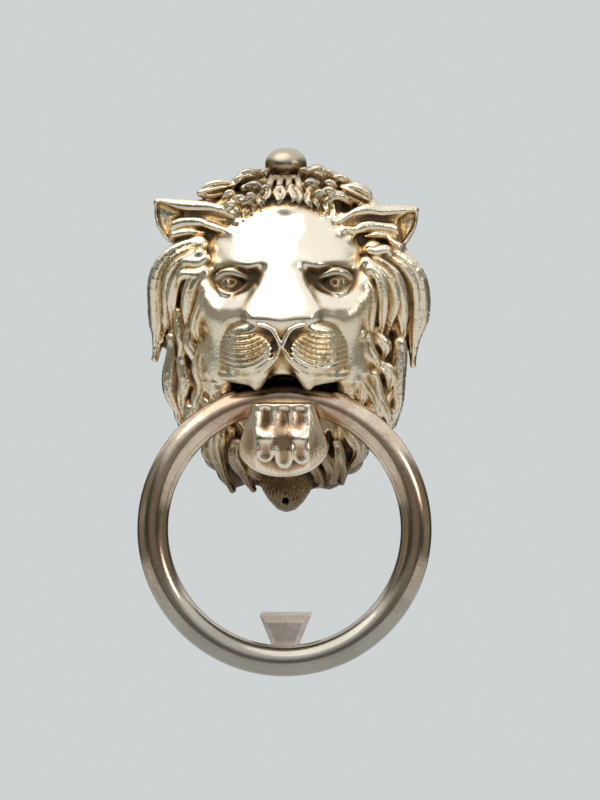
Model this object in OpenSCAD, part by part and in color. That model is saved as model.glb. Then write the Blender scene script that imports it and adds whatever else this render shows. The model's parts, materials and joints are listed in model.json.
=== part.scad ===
// Lion-head door knocker: a hollow-backed mask with a separate hooked lower jaw
// that carries a swinging ring, and a strike block that the ring falls against.
// +Z is up, +X is right, the door's face is the plane Y = 0 and the knocker
// stands out towards -Y. The origin is midway between the mask's two studs.

/* [Ring] */
// Outside diameter of the ring
ring_od = 124; // [118:1:126]
// Diameter of the ring's round bar
bar_d = 13; // [12:0.5:13]
// Gap kept between the ring and what it hangs in
ring_gap = 0.4; // [0.3:0.05:0.6]

/* [Hinge] */
// How far the middle of the bar hangs in front of the door
hinge_out = 30; // [29:0.5:31]
// Height of the middle of the bar in the mouth, from the origin
hinge_z = -22.3; // [-23:0.1:-22]

/* [Mask] */
// Depth of the mask at its outline
edge_depth = 8; // [6:1:10]
// How much further the middle of the face stands out than the outline
dome_depth = 28; // [24:1:30]
// Thickness of the casting's wall
wall = 4; // [3.5:0.5:5]
// Depth of the mask below the mouth, where the jaw is seated
seat_depth = 21; // [20:0.5:21.5]
// Radius of the ball on the crown
ball_r = 8.8; // [8:0.2:9.5]
// Height of the lips' underside at the sides of the mouth
lip_z = -15.2; // [-15.4:0.1:-15]
// Radius of the arched opening in the middle of the upper lip
arch_r = 7.5; // [6:0.5:7.5]
// Height of the small screw hole in the beard
beard_hole_z = -66.5; // [-67:0.5:-65]
// Diameter of the small screw hole in the beard
beard_hole_d = 2.6; // [2.2:0.2:3]

/* [Lower jaw] */
// Width of the jaw's top edge
jaw_top_w = 24.6; // [22:0.2:25]
// Width of the jaw where it is widest
jaw_w = 38.5; // [36:0.5:39]
// How far the jaw's front stands out from the door
jaw_out = 50; // [47:0.5:52]
// Distance between the jaw's two screws
jaw_screw_spacing = 18; // [17:0.5:20]

/* [Fixing to the door] */
// Distance between the mask's two studs
stud_spacing = 96; // [96:1:97]
// Thickness of door that the studs are cut for
door_t = 44; // [35:1:60]
// Diameter of the studs' plain shank
stud_d = 6; // [5.8:0.1:6.2]
// Outside diameter of the washers on the inside of the door
washer_od = 18; // [16:1:22]
// Width across the flats of the nuts
nut_af = 10; // [10:0.5:11]

/* [Strike block] */
// Width of the block's top
block_top_w = 21.8; // [20:0.2:24]
// Width of the block where the ring meets it
block_low_w = 11.2; // [10:0.2:12]
// Height of the block's top edge, from the origin
block_top_z = -115; // [-116:0.5:-114]
// Width of the bevel round the block's face
block_bevel = 2.8; // [2:0.2:3]
// Gap between the hanging ring and the block's face
strike_gap = 0.3; // [0.2:0.05:0.5]
// Height of the block's screw, from the origin
strike_screw_z = -128; // [-129:0.5:-127]
// Length of the screw's plain part in the door
strike_screw_l = 24; // [18:1:30]

/* [Hidden] */
$fn = 96;

polished_brass = [0.83, 0.70, 0.46];
worn_brass = [0.66, 0.52, 0.36];
dull_brass = [0.60, 0.50, 0.45];
steel = [0.62, 0.62, 0.64];

bar_r = bar_d / 2;
ring_r = ring_od / 2 - bar_r;
ring_z = hinge_z - ring_r;

// Threads are drawn as plain cylinders at their pitch diameter.
thread_r = stud_d / 2 - 0.3;
thread_gap = 0.05;
stud_top_z = stud_spacing / 2;
boss_r = 5.5;
boss_back = 5;
stud_in = 16.5;
tap_depth = 17.5;
lock_nut_h = 3.2;
washer_t = 1.6;
washer_hole_r = stud_d / 2 + 0.2;
nut_hex_h = 6;
nut_dome_r = 4.75;
nut_tap_h = 9.5;
stud_shank_end = door_t - 0.5;
stud_out = door_t + 9.5;

// Jaw screws, M4
screw_r = 1.8;
screw_hole_r = 2.25;
screw_head_r = 3.5;
screw_head_h = 2.6;
screw_z = -40;
screw_in = 30;
screw_washer_r = 3.6;
screw_washer_t = 0.9;
seat_back = seat_depth - wall;

// The strike block's screw
strike_screw_r = 2.5;
strike_thread_r = 2;
strike_tap = 14;
strike_recess_r = 3.2;
strike_recess_h = 1;
strike_point_l = 7;

// The mask's outline, as [angle above the X axis, distance from the origin]:
// beard, beard locks, lower mane, notch, the big side lock, ear and crown.
OUTLINE = [[-90, 72], [-80, 67.5], [-69, 65.5], [-64, 61.5], [-58, 59.5],
    [-45, 59.5], [-31, 57.5], [-21, 54], [-12, 53], [-9, 57.5], [-4, 58.3],
    [6, 60], [15, 62.8], [25, 64.3], [38, 64], [41.5, 70], [44, 77],
    [47, 80], [51, 76.5], [59, 73.8], [67, 75], [76, 76.2], [90, 78]];

// Swellings and hollows of the face, as [x, z, half-width, half-height, depth].
// Each one is on both sides of the middle line.
FEATURES = [
    [0, 44, 20, 14, 5],      // forehead
    [15, 32, 9, 4, 7],       // brow
    [22, 24, 7, 5, -3],      // eye socket
    [0, 12, 8, 13, 20],      // nose
    [14, -1, 10, 12, 17],    // whisker pad
    [50, 54, 9, 8, 9],       // ear
    [30, 60, 10, 8, 5],      // crown locks
    [0, -66, 10, 8, 3]       // beard tuft
];

// Ridges of the mane's locks, round the outside of the face
lock_count = 14;
lock_depth = 1.6;

GRID_A = 72;
GRID_R = 11;

function edge_r(a) = lookup(atan2(sin(a), abs(cos(a))), OUTLINE);
function swelling(x, z, f) =
    f[4] * exp(-pow((abs(x) - f[0]) / f[2], 2) - pow((z - f[1]) / f[3], 2));
function sum_of(v, i = 0) = i == len(v) ? 0 : v[i] + sum_of(v, i + 1);
function locks(a, t) = t < 0.6 ? 0 : lock_depth * cos(lock_count * (a - 90));
function face_depth(a, r) =
    let (t = min(1, r / edge_r(a)), x = r * cos(a), z = r * sin(a))
    edge_depth + dome_depth * (1 - pow(t, 3)) + locks(a, t)
        + (1 - pow(t, 12)) * sum_of([for (f = FEATURES) swelling(x, z, f)]);

// The hollow stops short of the ears, the crown's ball and the solid beard, and
// stays shallow from the upper lip down, behind the mouth and the jaw's seat.
hollow_r_max = 66;
hollow_low_z = -57;
shallow_below_z = -2;
function hollow_r(a) =
    min(edge_r(a) - wall, hollow_r_max, hollow_low_z / min(-0.01, sin(a)));
function hollow_depth(a, r) =
    let (d = face_depth(a, r) - wall)
    r * sin(a) < shallow_below_z ? min(d, seat_back) : d;

// A solid between the door's plane and a surface over a polar grid. It reaches
// past the plane by `past`, so that the plane itself can be cut clean.
past = 1;
module relief(hollow) {
    radii = [for (j = [0 : GRID_A - 1])
        let (a = j * 360 / GRID_A) hollow ? hollow_r(a) : edge_r(a)];
    rings = [for (i = [1 : GRID_R]) for (j = [0 : GRID_A - 1])
        let (a = j * 360 / GRID_A, r = radii[j] * i / GRID_R,
            d = hollow ? hollow_depth(a, r) : face_depth(a, r))
        [r * cos(a), -d, r * sin(a)]];
    back = [for (j = [0 : GRID_A - 1])
        let (a = j * 360 / GRID_A) [radii[j] * cos(a), past, radii[j] * sin(a)]];
    centre_d = hollow ? hollow_depth(90, 0) : face_depth(90, 0);
    points = concat(rings, back, [[0, -centre_d, 0], [0, past, 0]]);
    front_point = len(points) - 2;
    back_point = len(points) - 1;
    faces = concat(
        [for (j = [0 : GRID_A - 1]) [front_point, (j + 1) % GRID_A, j]],
        [for (i = [0 : GRID_R - 1]) for (j = [0 : GRID_A - 1])
            let (k = (j + 1) % GRID_A, p = i * GRID_A, q = p + GRID_A)
            each [[p + j, q + k, q + j], [p + j, p + k, q + k]]],
        [for (j = [0 : GRID_A - 1]) let (k = (j + 1) % GRID_A, p = GRID_R * GRID_A)
            [p + j, p + k, back_point]]);
    polyhedron(points, faces);
}

// A cylinder that lies along Y, from y0 to y1, at x and z
module along_y(r, y0, y1, x = 0, z = 0) {
    translate([x, y1, z]) rotate([90, 0, 0]) cylinder(r = r, h = y1 - y0);
}

// A cone along Y, with radius r0 at y0 and r1 at y1
module cone_y(r0, y0, r1, y1, x = 0, z = 0) {
    translate([x, y0, z]) rotate([-90, 0, 0]) cylinder(r1 = r0, r2 = r1, h = y1 - y0);
}

module hexagon_y(af, y0, y1, x = 0, z = 0) {
    translate([x, y1, z]) rotate([90, 0, 0])
        cylinder(r = af / sqrt(3), h = y1 - y0, $fn = 6);
}

// The space that the bar sweeps in the mouth as the ring turns about the hinge
module swept_bar(half_w) {
    translate([0, -hinge_out, hinge_z]) rotate([0, 90, 0]) rotate_extrude()
        difference() {
            translate([0, -half_w]) square([16, 2 * half_w]);
            translate([ring_r, 0]) circle(r = ring_r - bar_r - ring_gap);
        }
}

fang_x = 11;
fang_out = 42.6;
fang_r = 3.6;
fang_tip_z = -20;
module fang(side) {
    translate([side * fang_x, -fang_out, fang_tip_z])
        cylinder(r1 = 1, r2 = fang_r, h = lip_z - fang_tip_z + 3);
}

mouth_w = 140;
mouth_h = 70;
beard_face = 10;
module lion_mask() {
    color(polished_brass)
    difference() {
        union() {
            difference() {
                union() {
                    relief(false);
                    translate([0, -13.5, 75.4]) sphere(r = ball_r);
                }
                // everything in front of the jaw's seat, below the lips
                translate([-mouth_w / 2, -seat_depth - 60, lip_z - mouth_h])
                    cube([mouth_w, 60, mouth_h]);
                along_y(arch_r, -80, -seat_depth, 0, lip_z - 5);
                relief(true);
            }
            for (side = [-1, 1]) fang(side);
            along_y(boss_r, -33, -boss_back, 0, stud_top_z);
            along_y(boss_r, -seat_back - 1, -boss_back, 0, -stud_top_z);
        }
        translate([-100, 0, -100]) cube([200, 10, 200]);
        for (z = [-stud_top_z, stud_top_z])
            along_y(thread_r + thread_gap, -tap_depth, 1, 0, z);
        for (side = [-1, 1])
            along_y(screw_hole_r, -seat_depth - 1, -seat_back + 1,
                side * jaw_screw_spacing / 2, screw_z);
        along_y(beard_hole_d / 2, -40, 1, 0, beard_hole_z);
        along_y(beard_hole_d, -40, -beard_face, 0, beard_hole_z);
    }
}

// Half of the jaw's outline from the front, from the top edge to the chin
jaw_low_z = -54.5;
jaw_front = [[jaw_top_w / 2, -25], [jaw_w / 2, -43], [jaw_w / 2 - 1, -47],
    [jaw_w / 2 - 6, -52], [6, jaw_low_z]];
// The jaw's outline from the side, as [distance out from the door, height]
jaw_side = [[seat_depth, -27], [30, -25], [jaw_out - 6, -25], [jaw_out - 2.5, -31],
    [jaw_out, -38], [jaw_out - 0.5, -43], [jaw_out - 4, -49], [jaw_out - 11, jaw_low_z],
    [seat_depth, -53]];
flute_x = 5.2;
flute_r = 1.6;
module lower_jaw() {
    color(worn_brass)
    difference() {
        intersection() {
            rotate([90, 0, 0]) linear_extrude(jaw_out + 1)
                polygon(concat(jaw_front,
                    [for (i = [len(jaw_front) - 1 : -1 : 0])
                        [-jaw_front[i][0], jaw_front[i][1]]]));
            rotate([0, 0, -90]) rotate([90, 0, 0]) translate([0, 0, -jaw_w])
                linear_extrude(2 * jaw_w) polygon(jaw_side);
        }
        swept_bar(24);
        for (side = [-1, 1]) {
            along_y(screw_r + thread_gap, -screw_in - 1, -seat_depth + 1,
                side * jaw_screw_spacing / 2, screw_z);
            translate([side * flute_x, -jaw_out - 0.2, jaw_low_z - 2])
                cylinder(r = flute_r, h = 40);
        }
    }
}

module jaw_screw(side) {
    x = side * jaw_screw_spacing / 2;
    head_y = -seat_back + screw_washer_t;
    color(steel)
    difference() {
        union() {
            along_y(screw_r, -screw_in, head_y + 1, x, screw_z);
            along_y(screw_head_r, head_y, head_y + screw_head_h, x, screw_z);
        }
        translate([x - 0.5, head_y + screw_head_h - 1.2, screw_z - 5]) cube([1, 2, 10]);
    }
}
module jaw_screw_left() jaw_screw(-1);
module jaw_screw_right() jaw_screw(1);

module jaw_washer(side) {
    x = side * jaw_screw_spacing / 2;
    color(steel)
    difference() {
        along_y(screw_washer_r, -seat_back, -seat_back + screw_washer_t, x, screw_z);
        along_y(screw_hole_r - 0.1, -seat_back - 1, 0, x, screw_z);
        // the split of a spring washer
        translate([x - 0.4, -seat_back - 1, screw_z]) cube([0.8, 4, 5]);
    }
}
module jaw_washer_left() jaw_washer(-1);
module jaw_washer_right() jaw_washer(1);

module knocker_ring() {
    color(polished_brass)
    translate([0, -hinge_out, ring_z]) rotate([90, 0, 0]) rotate_extrude()
        translate([ring_r, 0]) circle(r = bar_r);
}

module fixing_stud(z) {
    color(steel) {
        along_y(thread_r, -stud_in, 0, 0, z);
        along_y(stud_d / 2, 0, stud_shank_end, 0, z);
        along_y(thread_r, stud_shank_end, stud_out, 0, z);
    }
}
module upper_fixing_stud() fixing_stud(stud_top_z);
module lower_fixing_stud() fixing_stud(-stud_top_z);

module lock_nut(z) {
    color(steel)
    difference() {
        hexagon_y(nut_af, -boss_back, -boss_back + lock_nut_h, 0, z);
        along_y(thread_r + thread_gap, -boss_back - 1, 0, 0, z);
    }
}
module upper_lock_nut() lock_nut(stud_top_z);
module lower_lock_nut() lock_nut(-stud_top_z);

module door_washer(z) {
    color(steel)
    difference() {
        along_y(washer_od / 2, door_t, door_t + washer_t, 0, z);
        along_y(washer_hole_r, door_t - 1, door_t + washer_t + 1, 0, z);
    }
}
module upper_washer() door_washer(stud_top_z);
module lower_washer() door_washer(-stud_top_z);

module dome_nut(z) {
    y0 = door_t + washer_t;
    color(polished_brass)
    difference() {
        union() {
            intersection() {
                hexagon_y(nut_af, y0, y0 + nut_hex_h, 0, z);
                cone_y(nut_af * 0.58 + 6, y0, nut_af * 0.52, y0 + nut_hex_h, 0, z);
            }
            intersection() {
                translate([0, y0 + nut_hex_h + 1, z]) sphere(r = nut_dome_r);
                along_y(nut_dome_r + 1, y0 + 2, y0 + 14, 0, z);
            }
        }
        along_y(thread_r + thread_gap, y0 - 1, y0 + nut_tap_h, 0, z);
    }
}
module upper_dome_nut() dome_nut(stud_top_z);
module lower_dome_nut() dome_nut(-stud_top_z);

block_out = hinge_out - bar_r - strike_gap;
block_flat = block_out - block_bevel;
block_knee_z = block_top_z - 13;
block_end_z = ring_z - ring_r - bar_r + 0.4 + block_low_w / 2;
sliver = 0.01;
// The keystone that shows inside the ring, drawn in by `inset` all round
module keystone(inset) {
    top = block_top_w / 2 - inset * 1.25;
    low = block_low_w / 2 - inset * 0.8;
    polygon([[-top, block_top_z - inset], [top, block_top_z - inset],
        [low, block_knee_z], [-low, block_knee_z]]);
}
// The round-ended foot that the ring strikes, drawn in by `inset`
module block_foot(inset) {
    low = block_low_w / 2 - inset * 0.8;
    translate([-low, block_end_z]) square([2 * low, block_knee_z - block_end_z]);
    translate([0, block_end_z]) circle(r = low, $fn = 48);
}
module strike_block() {
    color(dull_brass)
    difference() {
        rotate([90, 0, 0]) {
            linear_extrude(block_flat) keystone(0);
            linear_extrude(block_flat) block_foot(0);
            hull() {
                translate([0, 0, block_flat - sliver]) linear_extrude(sliver) keystone(0);
                translate([0, 0, block_out - sliver])
                    linear_extrude(sliver) keystone(block_bevel);
            }
            hull() {
                translate([0, 0, block_flat - sliver]) linear_extrude(sliver) block_foot(0);
                translate([0, 0, block_out - sliver])
                    linear_extrude(sliver) block_foot(block_bevel);
            }
        }
        along_y(strike_thread_r + thread_gap, -strike_tap, 1, 0, strike_screw_z);
        // Recess that keeps the shank's shoulder off the block's flat back
        along_y(strike_recess_r, -strike_recess_h, 1, 0, strike_screw_z);
    }
}

// A double-ended stud: a machine thread in the block, a plain shank in the door
// and a screw point, drawn without its thread
module strike_screw() {
    color(steel) {
        along_y(strike_thread_r, -strike_tap + 1, 0, 0, strike_screw_z);
        along_y(strike_screw_r, 0, strike_screw_l, 0, strike_screw_z);
        cone_y(strike_screw_r, strike_screw_l, 0.4, strike_screw_l + strike_point_l,
            0, strike_screw_z);
    }
}

lion_mask();
lower_jaw();
jaw_screw_left();
jaw_screw_right();
jaw_washer_left();
jaw_washer_right();
knocker_ring();
upper_fixing_stud();
lower_fixing_stud();
upper_lock_nut();
lower_lock_nut();
upper_washer();
lower_washer();
upper_dome_nut();
lower_dome_nut();
strike_block();
strike_screw();
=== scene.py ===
"""Lion-head door knocker: the visual model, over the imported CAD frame."""
import json
import math

import bmesh
import bpy
import numpy as np
import openvdb
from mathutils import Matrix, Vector

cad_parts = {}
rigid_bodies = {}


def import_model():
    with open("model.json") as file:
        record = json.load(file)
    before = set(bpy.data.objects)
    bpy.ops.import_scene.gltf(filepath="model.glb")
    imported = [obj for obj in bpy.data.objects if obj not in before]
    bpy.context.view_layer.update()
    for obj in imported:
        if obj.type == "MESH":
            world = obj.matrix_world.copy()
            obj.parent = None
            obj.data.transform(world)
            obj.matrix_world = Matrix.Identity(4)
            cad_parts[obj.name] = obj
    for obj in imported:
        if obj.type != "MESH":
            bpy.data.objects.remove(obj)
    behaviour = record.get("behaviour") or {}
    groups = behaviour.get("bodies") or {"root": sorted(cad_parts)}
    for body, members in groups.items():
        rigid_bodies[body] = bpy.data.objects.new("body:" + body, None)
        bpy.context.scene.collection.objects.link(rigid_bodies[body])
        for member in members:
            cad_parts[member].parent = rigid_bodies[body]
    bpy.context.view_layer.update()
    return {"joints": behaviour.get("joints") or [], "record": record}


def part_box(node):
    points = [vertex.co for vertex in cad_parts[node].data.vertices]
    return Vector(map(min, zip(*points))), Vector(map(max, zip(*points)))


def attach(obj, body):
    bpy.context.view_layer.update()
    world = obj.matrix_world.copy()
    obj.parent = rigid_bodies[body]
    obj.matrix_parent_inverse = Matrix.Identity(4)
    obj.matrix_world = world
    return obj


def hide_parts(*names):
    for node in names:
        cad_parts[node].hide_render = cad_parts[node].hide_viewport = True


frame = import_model()

MM = 0.001
VOXEL = 0.5

# The hinge and the ring, in millimetres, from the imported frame
HINGE = frame["joints"][0]["pos_m"]
HINGE_OUT = -HINGE[1] / MM
HINGE_Z = HINGE[2] / MM
RING_LO, RING_HI = (np.array(c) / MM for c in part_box("knocker_ring"))
BAR_R = (RING_HI[1] - RING_LO[1]) / 2
RING_R = (RING_HI[0] - RING_LO[0]) / 2 - BAR_R

# Where the fixings meet the castings, and the mask's wall, in millimetres
STUD_Z = 48.0
JAW_SCREW_X = 9
JAW_SCREW_Z = -40
PIN_HOLE_Z = -66.5
WALL = 4.3


# -------- sculpting
# A sculpt is a signed distance field on a grid, in millimetres, with axes
# x (right), o (out from the door) and z (up). Negative is inside the metal.


def spline(points, n=14):
    """n points along a Catmull-Rom curve through the given ones."""
    p = np.array(points, float)
    p = np.vstack([2 * p[0] - p[1], p, 2 * p[-1] - p[-2]])
    at = np.linspace(0, len(p) - 3 - 1e-9, n)
    i = at.astype(int)
    t = (at - i)[:, None]
    a, b, c, d = p[i], p[i + 1], p[i + 2], p[i + 3]
    return 0.5 * (2 * b + (c - a) * t + (2 * a - 5 * b + 4 * c - d) * t**2
                  + (3 * b - a - 3 * c + d) * t**3)


def smooth_min(a, b, k):
    """The smaller of two values, with a rounded change from one to the other."""
    h = np.clip(0.5 + 0.5 * (b - a) / k, 0, 1)
    return b + (a - b) * h - k * h * (1 - h)


def step(lo, hi, v):
    """A smooth rise from 0 to 1 as v goes from lo to hi."""
    t = np.clip((v - lo) / (hi - lo), 0, 1)
    return t * t * (3 - 2 * t)


def mirrored(side, *points):
    """Points given for the right-hand half, moved to the left where side is -1."""
    return [(side * x, o, z) for x, o, z in points]


def outer_shell(verts, tris, quads):
    """The largest connected surface alone, without closed voids or loose crumbs."""
    edges = np.concatenate([f[:, [i, i + 1]] for f in (tris, quads)
                            for i in range(f.shape[1] - 1)]).astype(np.int64)
    label = np.arange(len(verts))
    while True:
        low = np.minimum(label[edges[:, 0]], label[edges[:, 1]])
        lower = label.copy()
        np.minimum.at(lower, edges[:, 0], low)
        np.minimum.at(lower, edges[:, 1], low)
        lower = lower[lower]
        if (lower == label).all():
            break
        label = lower
    kept = label == np.bincount(label).argmax()
    number = np.cumsum(kept) - 1
    return verts[kept], *(number[f[kept[f[:, 0]]]] for f in (tris, quads))


class Sculpt:
    """A block of the field, and the calls that add metal to it or carve it away."""

    OUTSIDE = 25.0
    # Locks of more than this half-width have single hairs cut into their strands
    HAIRY_WIDTH = 2.9
    HAIR_WIDTH = 1.55
    HAIR_DEPTH = 0.34
    # Points of the mesh closer together than this, in metres, become one
    MERGED = 0.002 * MM

    def __init__(self, lo, hi, voxel):
        self.lo = np.array(lo, float)
        self.voxel = voxel
        self.shape = np.ceil((np.array(hi) - self.lo) / voxel).astype(int) + 1
        self.field = np.full(self.shape, self.OUTSIDE, np.float32)
        self.axes = [(self.lo[i] + voxel * np.arange(self.shape[i])).astype(np.float32)
                     for i in range(3)]

    def window(self, lo, hi):
        """The slices and the coordinates of the part of the grid in a box."""
        a = np.floor((np.array(lo) - self.lo) / self.voxel).astype(int)
        b = np.ceil((np.array(hi) - self.lo) / self.voxel).astype(int) + 1
        a, b = np.clip(a, 0, self.shape), np.clip(b, 0, self.shape)
        s = tuple(slice(int(m), int(n)) for m, n in zip(a, b))
        return s, np.ix_(*(ax[q] for ax, q in zip(self.axes, s)))

    def blend(self, s, d, k, carve=False):
        """Adds the shape d to a window, or carves it out, with edges k mm soft."""
        f = self.field[s]
        if f.size:
            self.field[s] = -smooth_min(-f, d, k) if carve else smooth_min(f, d, k)

    def ellipsoid(self, centre, radii, k=1.0, carve=False, turn=0.0):
        """An ellipsoid, turned by so many degrees about the outward axis."""
        c, r = np.array(centre, float), np.array(radii, float)
        reach = np.array([max(r[0], r[2]), r[1], max(r[0], r[2])]) + k + 2
        s, (x, o, z) = self.window(c - reach, c + reach)
        u, v, w = x - c[0], o - c[1], z - c[2]
        if turn:
            ca, sa = math.cos(math.radians(turn)), math.sin(math.radians(turn))
            u, w = u * ca + w * sa, w * ca - u * sa
        near = np.sqrt((u / r[0])**2 + (v / r[1])**2 + (w / r[2])**2)
        slope = np.sqrt((u / r[0]**2)**2 + (v / r[1]**2)**2 + (w / r[2]**2)**2)
        self.blend(s, near * (near - 1) / (slope + 1e-6), k, carve)

    def tube(self, points, radii, k=1.0, carve=False, n=12):
        """A round bar along a curve; radii are spread evenly along it."""
        c = spline(points, n)
        r = np.interp(np.linspace(0, 1, n), np.linspace(0, 1, len(radii)), radii)
        reach = max(radii) + k + 2
        s, (x, o, z) = self.window(c.min(0) - reach, c.max(0) + reach)
        best = None
        for i in range(n - 1):
            a, e = c[i], c[i + 1] - c[i]
            t = ((x - a[0]) * e[0] + (o - a[1]) * e[1] + (z - a[2]) * e[2]) / (e @ e)
            t = np.clip(t, 0, 1)
            d = np.sqrt((x - a[0] - t * e[0])**2 + (o - a[1] - t * e[1])**2
                        + (z - a[2] - t * e[2])**2) - (r[i] + t * (r[i + 1] - r[i]))
            best = d if best is None else np.minimum(best, d)
        self.blend(s, best, k, carve)

    def rod(self, x0, z0, radius, lo, hi, k, carve=False, near=-99, far=99):
        """A rod that runs straight out between two depths, in the window lo to hi."""
        s, (x, o, z) = self.window(lo, hi)
        d = np.sqrt((x - x0)**2 + (z - z0)**2) - radius
        self.blend(s, np.maximum(d, np.maximum(near - o, o - far)), k, carve)

    def lock(self, points, w, t, strands=2, groove=0.75, k=1.0, root=0.7, tip=0.15,
             back=14.0, wave=0.0):
        """A lock of hair: a curved ridge of half-width w that stands t proud of its
        middle line, with `strands` strands along it, narrowing to its tip."""
        c = self.swayed(spline(points, 18), wave)
        reach = np.array([w, max(t, back), w]) + k + 1.5
        s, (x, o, z) = self.window(c.min(0) - reach, c.max(0) + reach)
        along, across, middle = self.beside(c, x, z)
        swell = root + (1 - root) * np.sin(np.pi * np.clip(along / 0.8, 0, 1))
        width = w * swell * (1 - (1 - tip) * step(0.6, 1.0, along)**1.2)
        height = t * (0.35 + 0.65 * width / w)
        v = o - middle
        q = np.sqrt((across / width)**2 + (v / np.where(v > 0, height, back))**2)
        d = (q - 1) * np.minimum(width, height)
        if strands > 1:
            phase = np.clip((across / width + 1) / 2, 0, 1)
            cut = groove * (1 - np.abs(np.sin(np.pi * strands * phase)))
            if w > self.HAIRY_WIDTH:
                hairs = round(2 * w / self.HAIR_WIDTH)
                bent = phase + 0.05 * np.sin(8 * along + 3 * w + c[0, 2])
                cut = cut + self.HAIR_DEPTH * (1 - np.abs(np.sin(np.pi * hairs * bent)))
            ends = step(0, 0.12, along) * (1 - step(0.93, 1.0, along))
            d = d + cut * ends * (v > -1)
        self.blend(s, d, k)

    @staticmethod
    def swayed(c, wave):
        """A curve that sways from side to side by so many mm."""
        if not wave:
            return c
        run = np.gradient(c, axis=0)
        run = run / np.hypot(run[:, 0], run[:, 2])[:, None]
        sway = wave * np.sin(np.linspace(0, 7.0, len(c)) + c[0, 0] + c[0, 2])
        return c + np.stack([run[:, 2] * sway, 0 * sway, -run[:, 0] * sway], 1)

    @staticmethod
    def beside(c, x, z):
        """Seen from the front, how far each place lies along the curve c (0 to 1) and
        to its side, and how far out the curve is there."""
        far = np.full((x.shape[0], 1, z.shape[2]), 1e9)
        along, side, middle = far * 0, far * 0, far * 0
        n = len(c) - 1
        for i in range(n):
            a, e = c[i], c[i + 1] - c[i]
            u = np.clip(((x - a[0]) * e[0] + (z - a[2]) * e[2])
                        / (e[0]**2 + e[2]**2 + 1e-9), 0, 1)
            du, dw = x - a[0] - u * e[0], z - a[2] - u * e[2]
            d = du**2 + dw**2
            m = d < far
            far = np.where(m, d, far)
            along = np.where(m, (i + u) / n, along)
            side = np.where(m, np.where(e[0] * dw < e[2] * du, -1, 1), side)
            middle = np.where(m, a[1] + u * e[1], middle)
        return along, np.sqrt(far) * side, middle

    def mesh(self, name):
        """The zero surface as an object, whose points hold how proud they stand."""
        grid = openvdb.FloatGrid(background=3.0)
        grid.copyFromArray(np.clip(self.field, -3, 3).astype(np.float32))
        verts, tris, quads = grid.convertToPolygons(isovalue=0.0, adaptivity=0.02)
        verts, tris, quads = outer_shell(verts, tris, quads)
        p = self.lo + verts * self.voxel
        co = np.stack([p[:, 0], -p[:, 1], p[:, 2]], 1) * MM
        me = bpy.data.meshes.new(name)
        me.from_pydata(co.tolist(), [], [f[::-1] for f in quads.tolist() + tris.tolist()])
        for key, reach, limit in (("proud", 1.6, 3), ("broad", 3.5, 3), ("deep", 8.0, 9)):
            values = self.sample(self.blurred(reach / self.voxel, limit), verts)
            attr = me.attributes.new(key, "FLOAT", "POINT")
            attr.data.foreach_set("value", values.astype(np.float32))
        me.polygons.foreach_set("use_smooth", [True] * len(me.polygons))
        # points that fall together are merged, and faces with no area go
        bm = bmesh.new()
        bm.from_mesh(me)
        bmesh.ops.remove_doubles(bm, verts=bm.verts[:], dist=self.MERGED)
        bmesh.ops.dissolve_degenerate(bm, edges=bm.edges[:], dist=self.MERGED)
        bm.to_mesh(me)
        bm.free()
        return bpy.data.objects.new(name, me)

    def blurred(self, sigma, limit):
        """The field, limited to so many mm, after two box blurs along each axis."""
        f = np.clip(self.field, -limit, limit)
        half = max(1, int(round(sigma)))
        for _ in range(2):
            for axis in range(3):
                c = np.cumsum(np.pad(f, [(half + 1, half) if i == axis else (0, 0)
                                         for i in range(3)], mode="edge"), axis=axis,
                              dtype=np.float64)
                hi = np.take(c, range(2 * half + 1, c.shape[axis]), axis)
                lo = np.take(c, range(0, c.shape[axis] - 2 * half - 1), axis)
                f = ((hi - lo) / (2 * half + 1)).astype(np.float32)
        return f

    def sample(self, f, verts):
        """The values of a field at points that lie between its cells."""
        i = np.clip(verts.astype(int), 0, self.shape - 2)
        t = verts - i
        out = 0
        for corner in np.ndindex(2, 2, 2):
            weight = np.abs(1 - np.array(corner) - t).prod(1)
            out = out + weight * f[tuple((i + corner).T)]
        return out


# -------- lion mask

# Half of the casting's outline without its ears and loose tips: half-width, height
OUTLINE = ((0, 77), (9, 76), (18.5, 73), (27, 69.5), (33, 66.3), (38, 62), (42, 56),
           (44.5, 50), (48.5, 44), (51.5, 38), (55.5, 32.4), (58.5, 27), (60, 21),
           (60.4, 15), (59.6, 8), (57, 3), (52, -2), (50.6, -9), (50.4, -20),
           (49.4, -28), (47, -35), (40, -41), (34, -45), (31, -50.5), (26, -54.5),
           (22, -59), (13, -60.3), (9.5, -61.5), (5, -66), (0, -69))


def inside(outline, x, z):
    """How far a point is inside a closed outline, in mm; negative outside it."""
    p = np.array(outline, float)
    best, crossed = None, False
    for a, b in zip(p, np.roll(p, -1, 0)):
        e = b - a
        t = np.clip(((x - a[0]) * e[0] + (z - a[1]) * e[1]) / (e @ e), 0, 1)
        d = np.hypot(x - a[0] - t * e[0], z - a[1] - t * e[1])
        best = d if best is None else np.minimum(best, d)
        if e[1]:
            level = (z >= min(a[1], b[1])) & (z < max(a[1], b[1]))
            crossed = crossed ^ (level & (x < a[0] + (z - a[1]) * e[0] / e[1]))
    return np.where(crossed, best, -best)


def inside_outline(x, z):
    """How far a point is inside the casting's outline, in mm."""
    return inside(OUTLINE + tuple((-a, b) for a, b in OUTLINE[-2:0:-1]), x, z)


def ground(x, z):
    """Depth of the ground that the mane's locks lie on, in mm out from the door."""
    depth = inside_outline(x, z)
    rise = 1 - np.exp(-np.maximum(depth, 0) / 8.5)
    low = step(-20, -60, z)
    crown = 13.5 * np.exp(-(x / 32)**2) * step(44, 58, z) * rise
    return 6.5 + (14.0 - 2.0 * low) * rise + 4.0 * step(11, 25, depth) * (1 - low) + crown


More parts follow.
